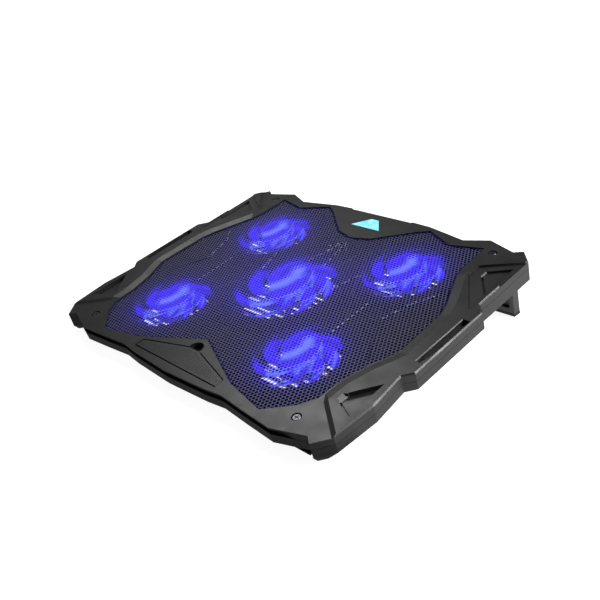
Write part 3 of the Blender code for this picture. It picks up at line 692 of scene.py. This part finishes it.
def blade_point(number, out, across, reach, hub):
    """Middle of a blade's thickness, at shares of its length (out) and of its arc (across)."""
    start = hub - 0.8
    radius = start + (reach - start) * out
    lead = 2 * math.pi * number / BLADES - SWEEP * out**1.3
    angle = lead + (BLADE_ARC[0] + (BLADE_ARC[1] - BLADE_ARC[0]) * out) * across
    rise = BLADE_TOP - BLADE_BOTTOM - 2
    z = BLADE_BOTTOM + 1 + rise * (across + 0.15 * math.sin(math.pi * across))
    return Vector((radius * math.cos(angle), radius * math.sin(angle), z))


def add_blade(work, number, reach, hub):
    """One swept blade: thick at its root and middle, thin at its edges, with rounded tip corners."""
    rows, columns = 20, 12
    upper, lower = [], []
    for row in range(rows + 1):
        out = row / rows
        trim = blade_trim(out)
        for side, grid in ((1, upper), (-1, lower)):
            line = []
            for column in range(columns + 1):
                across = trim + (1 - 2 * trim) * column / columns
                thick = 0.25 + 0.4 * math.sin(math.pi * across) * (1 - 0.3 * out)
                point = blade_point(number, out, across, reach, hub)
                line.append(work.verts.new(point + Vector((0, 0, side * thick))))
            grid.append(line)
    for low, high in zip(upper, upper[1:]):
        for k in range(columns):
            work.faces.new((low[k], low[k + 1], high[k + 1], high[k]))
    for low, high in zip(lower, lower[1:]):
        for k in range(columns):
            work.faces.new((low[k], high[k], high[k + 1], low[k + 1]))
    for k in range(rows):
        work.faces.new((upper[k][0], upper[k + 1][0], lower[k + 1][0], lower[k][0]))
        work.faces.new((upper[k][-1], lower[k][-1], lower[k + 1][-1], upper[k + 1][-1]))
    for k in range(columns):
        work.faces.new((upper[-1][k], upper[-1][k + 1], lower[-1][k + 1], lower[-1][k]))
        work.faces.new((upper[0][k], lower[0][k], lower[0][k + 1], upper[0][k + 1]))


def light_rotor(mesh, reach):
    """Store the pale swirls of painted light on a rotor piece, whose mesh is centred on its axis."""
    store(mesh, "swirl", [swirl(v.co.x / MM / reach, v.co.y / MM / reach) for v in mesh.vertices])


CUP_TOP = -4.7
CUP_BOTTOM = -14.2
CUP_WALL = 1.6  # also the round of its rim
CROWN_ANGLES = (0.0, 0.4, 0.8, 1.2, math.pi / 2)
CUP_STEPS = 64


def make_rotor(key):
    """One fan's blades and its hub cup, both riding on the rotor."""
    centre_x, centre_y, reach, hub = FANS[key]
    work = bmesh.new()
    for number in range(BLADES):
        add_blade(work, number, reach, hub)
    mesh = finished(work, f"rotor_blades_{key}")
    light_rotor(mesh, reach)
    piece(f"rotor_blades_{key}", mesh, LIT_BLUE, f"rotor_{key}",
          at=(centre_x, centre_y, 0), smooth=40)
    face = [(hub * share / 10, CUP_TOP) for share in range(1, 9)]
    crown = [
        (hub - CUP_WALL + CUP_WALL * math.sin(a), CUP_TOP - CUP_WALL + CUP_WALL * math.cos(a))
        for a in CROWN_ANGLES
    ]
    inner = hub - CUP_WALL
    profile = [
        (0, CUP_TOP), *face, *crown, (hub, CUP_BOTTOM), (inner, CUP_BOTTOM), (inner, CUP_TOP - CUP_WALL),
        (0, CUP_TOP - CUP_WALL),
    ]
    cup = turned_mesh(f"rotor_cap_{key}", profile, CUP_STEPS)
    light_rotor(cup, reach)
    piece(f"rotor_cap_{key}", cup, LIT_BLUE, f"rotor_{key}", [f"fan_rotor_{key}"],
          at=(centre_x, centre_y, 0), smooth=30)


# ---------------------------------------------------------------- stopper

DOT_PITCH = 1.6
DOT_RADIUS = 0.56
DOT_HEIGHT = 0.3
DOT_FIELD_INSET = 2.2
STOPPER_TIP_HALF = 6
STOPPER_SHOULDER_Y = -130.5
STOPPER_FRONT_GAP = 0.6


def make_stopper():
    """The flap with its field of raised dots, inside the CAD flap's outline and thickness."""
    low, high = plate_box("stopper_flap")
    tip_y, front_y, half = high.y, low.y, high.x
    top, bottom = high.z, low.z
    outline = mirrored([
        (STOPPER_TIP_HALF, tip_y), (half, STOPPER_SHOULDER_Y), (half, front_y + STOPPER_FRONT_GAP),
    ])
    field = filleted(offset(outline, -DOT_FIELD_INSET))
    dots = lattice(field, DOT_PITCH)
    loops = []
    for x, y in dots:
        loops.append(hexagon(x, y, DOT_RADIUS))
        loops.append(hexagon(x, y, 0.5 * DOT_RADIUS))
    spots = {}
    for x, y in dots:
        spots.setdefault((round(x), round(y)), []).append((x, y))

    def lift(x, y):
        for i in (-1, 0, 1):
            for j in (-1, 0, 1):
                for dot_x, dot_y in spots.get((round(x) + i, round(y) + j), ()):
                    if math.hypot(x - dot_x, y - dot_y) < 0.7 * DOT_RADIUS:
                        return DOT_HEIGHT
        return 0.0

    flat, faces = triangulated(outline, loops, True)
    work = bmesh.new()
    face_z = top - DOT_HEIGHT
    upper = [work.verts.new((x, y, face_z + lift(x, y))) for x, y in flat]
    for face in faces:
        work.faces.new([upper[i] for i in face])
    border = [edge for edge in work.edges if edge.is_boundary]
    made = bmesh.ops.extrude_edge_only(work, edges=border)
    low_edges = [item for item in made["geom"] if isinstance(item, bmesh.types.BMEdge)]
    for item in made["geom"]:
        if isinstance(item, bmesh.types.BMVert):
            item.co.z = bottom
    bmesh.ops.contextual_create(work, geom=low_edges)
    mesh = finished(work, "stopper_plate")
    piece("stopper_plate", mesh, BLACK, "stopper", ["stopper_flap"])


# ---------------------------------------------------------------- studio

FLOOR_GLOW = 0.92
FLOOR_Z = -0.0003
FLOOR_REACH = 10.0
FLOOR_SEAMS = (0.21, -0.1)  # x and y; the floor left of x and in front of y doesn't show in gloss
BACKDROP_RADIUS = 15.0
SKY = 0.17


def make_camera():
    """A camera that orbits the plate at the angles above, rolled about its own view line."""
    azimuth, elevation, roll = (math.radians(a) for a in CAMERA_ANGLES)
    back = Vector((
        math.sin(azimuth) * math.cos(elevation), -math.cos(azimuth) * math.cos(elevation), math.sin(elevation),
    ))
    right = (-back).cross(Vector((0, 0, 1))).normalized()
    up = back.cross(right)
    turned_right = math.cos(roll) * right - math.sin(roll) * up
    turned_up = math.sin(roll) * right + math.cos(roll) * up
    axes = Matrix((turned_right, turned_up, back)).transposed().to_4x4()
    data = bpy.data.cameras.new("camera")
    data.lens = LENS_MM
    data.sensor_width = SENSOR_MM
    camera = bpy.data.objects.new("camera", data)
    bpy.context.scene.collection.objects.link(camera)
    lean = RIGID.to_3x3().to_4x4()
    camera.matrix_world = Matrix.Translation(on_plate(*CAMERA_PLACE)) @ (lean @ axes)
    bpy.context.scene.camera = camera


def area_light(name, place, target, size, power):
    """A white rectangle of light, aimed at a point; places and sizes in metres."""
    data = bpy.data.lights.new(name, "AREA")
    data.shape = "RECTANGLE"
    data.size, data.size_y = size
    data.energy = power
    lamp = bpy.data.objects.new(name, data)
    bpy.context.scene.collection.objects.link(lamp)
    lamp.location = place
    lamp.rotation_euler = (Vector(target) - Vector(place)).to_track_quat("-Z", "Y").to_euler()


def make_backdrop():
    """A white surround that only the camera sees, so it adds no light."""
    look = Look("backdrop_white", (0, 0, 0), 1.0, specular=0.0)
    look.glow((1, 1, 1), 1.0)
    work = bmesh.new()
    bmesh.ops.create_icosphere(work, subdivisions=3, radius=BACKDROP_RADIUS)
    mesh = bpy.data.meshes.new("backdrop")
    work.to_mesh(mesh)
    work.free()
    mesh.materials.append(look.material)
    backdrop = bpy.data.objects.new("backdrop", mesh)
    bpy.context.scene.collection.objects.link(backdrop)
    backdrop.visible_diffuse = False
    backdrop.visible_glossy = False
    backdrop.visible_transmission = False
    backdrop.visible_shadow = False


def make_studio():
    """Floor in three parts, surround, dim sky and two soft lights."""
    look = Look("floor_white", (0.45, 0.45, 0.45), 0.9, specular=0.0)
    look.glow((1, 1, 1), FLOOR_GLOW)
    make_backdrop()
    far = FLOOR_REACH
    seam_x, seam_y = FLOOR_SEAMS
    for word, x0, x1, y0, y1 in (
        ("behind", -far, far, seam_y, far), ("front_right", seam_x, far, -far, seam_y),
        ("front_left", -far, seam_x, -far, seam_y),
    ):
        corners = [(x0, y0, FLOOR_Z), (x1, y0, FLOOR_Z), (x1, y1, FLOOR_Z), (x0, y1, FLOOR_Z)]
        mesh = bpy.data.meshes.new(f"floor_{word}")
        mesh.from_pydata(corners, [], [(0, 1, 2, 3)])
        mesh.materials.append(look.material)
        floor = bpy.data.objects.new(f"floor_{word}", mesh)
        bpy.context.scene.collection.objects.link(floor)
        floor.visible_glossy = word != "front_left"
    world = bpy.data.worlds.new("studio")
    world.use_nodes = True
    world.node_tree.nodes["Background"].inputs["Color"].default_value = (1, 1, 1, 1)
    world.node_tree.nodes["Background"].inputs["Strength"].default_value = SKY
    bpy.context.scene.world = world
    area_light("key", on_plate(1050, 750, 750), on_plate(150, 0, 0), (0.5, 0.5), 25)
    area_light("sheen", on_plate(-620, 420, 860), on_plate(150, -130, 0), (0.4, 0.4), 4.4)
    bpy.context.scene.view_settings.view_transform = "Standard"


make_camera()
dress_cad_nodes()
for cad_node, round_mm in EDGE_ROUNDS.items():
    soften(cad_node, round_mm)
make_sheet()
for fan in FANS:
    make_rotor(fan)
make_stopper()
make_studio()
